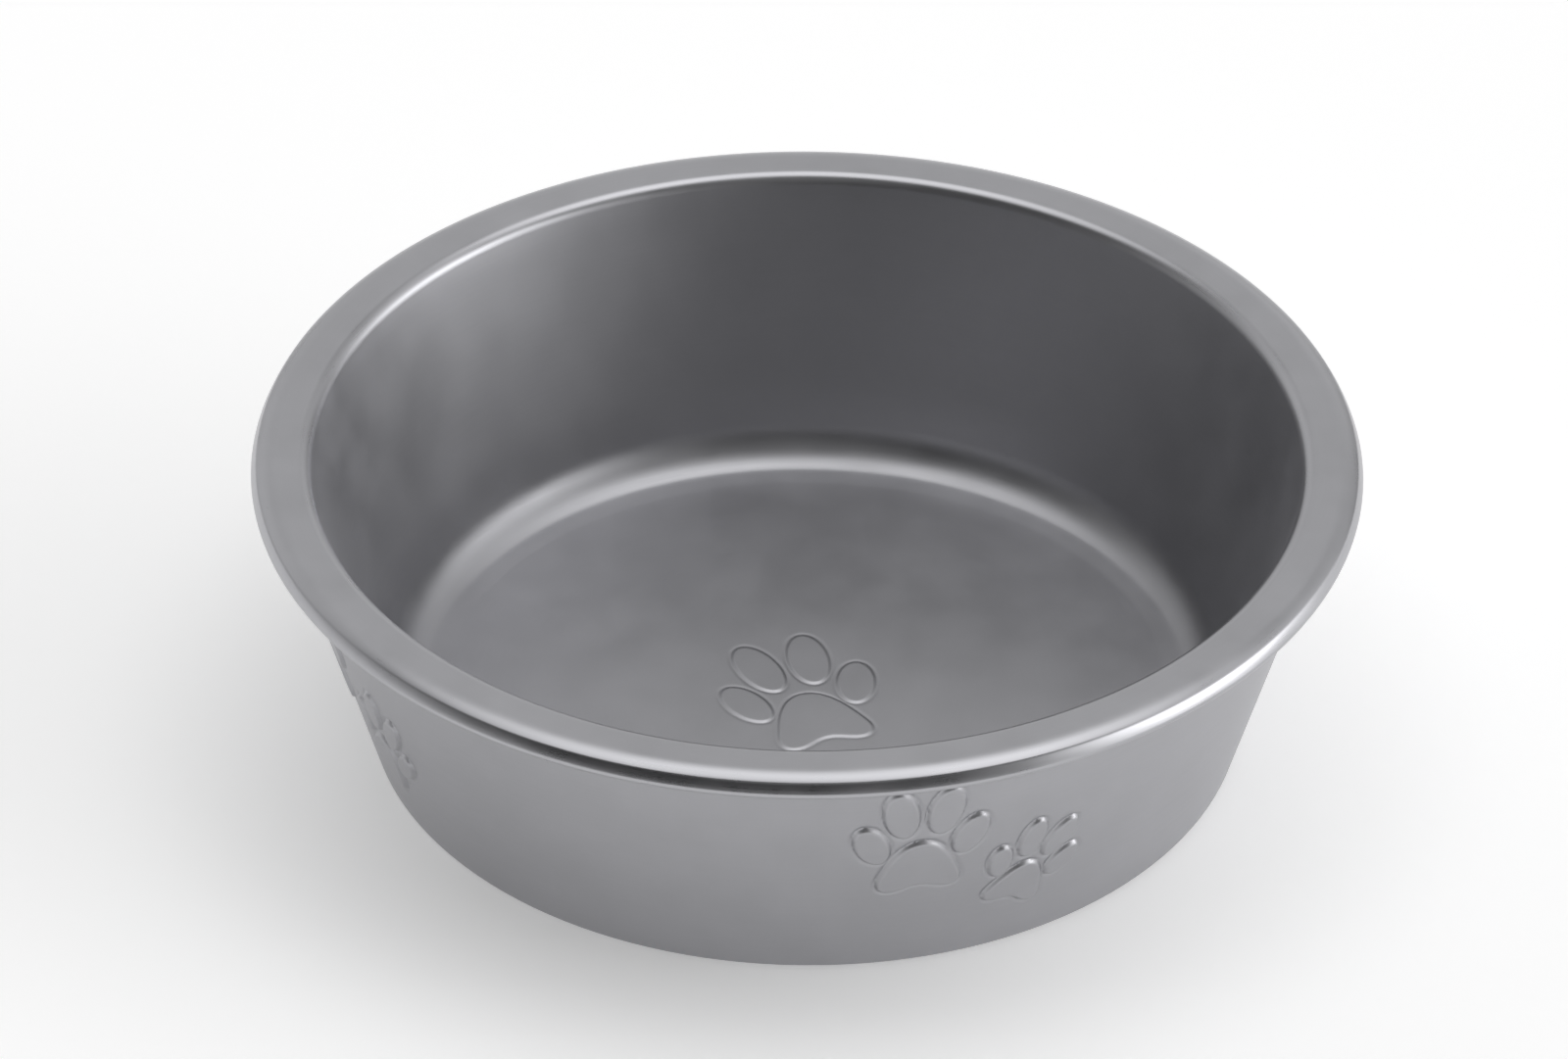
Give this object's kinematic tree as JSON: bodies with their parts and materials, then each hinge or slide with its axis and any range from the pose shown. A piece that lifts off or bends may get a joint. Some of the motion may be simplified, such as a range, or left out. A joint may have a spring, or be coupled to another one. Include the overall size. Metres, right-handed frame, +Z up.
{
  "type": "pet food bowl",
  "caption": "Round satin steel pet bowl: an inner bowl with a rolled rim lifts out of a tapered outer shell with embossed paw prints, on a rubber non-slip ring.",
  "frame": {"origin": "on the table, under the bowl's axis", "axes": "+Z up along the bowl's axis, -Y towards the front as pictured, +X to the right"},
  "size_m": [0.22, 0.22, 0.063],
  "materials": {
    "bowl_steel": "satin",
    "shell_steel": "satin",
    "ring_rubber": "matte"
  },
  "bodies": {
    "shell": {"outer_shell": "shell_steel", "non_slip_ring": "ring_rubber"},
    "bowl": {"inner_bowl": "bowl_steel"}
  },
  "joints": [
    {"name": "bowl_lift", "type": "slide", "parent": "shell", "child": "bowl", "axis": [0, 0, 1], "range_m": [0, 0.08]}
  ]
}
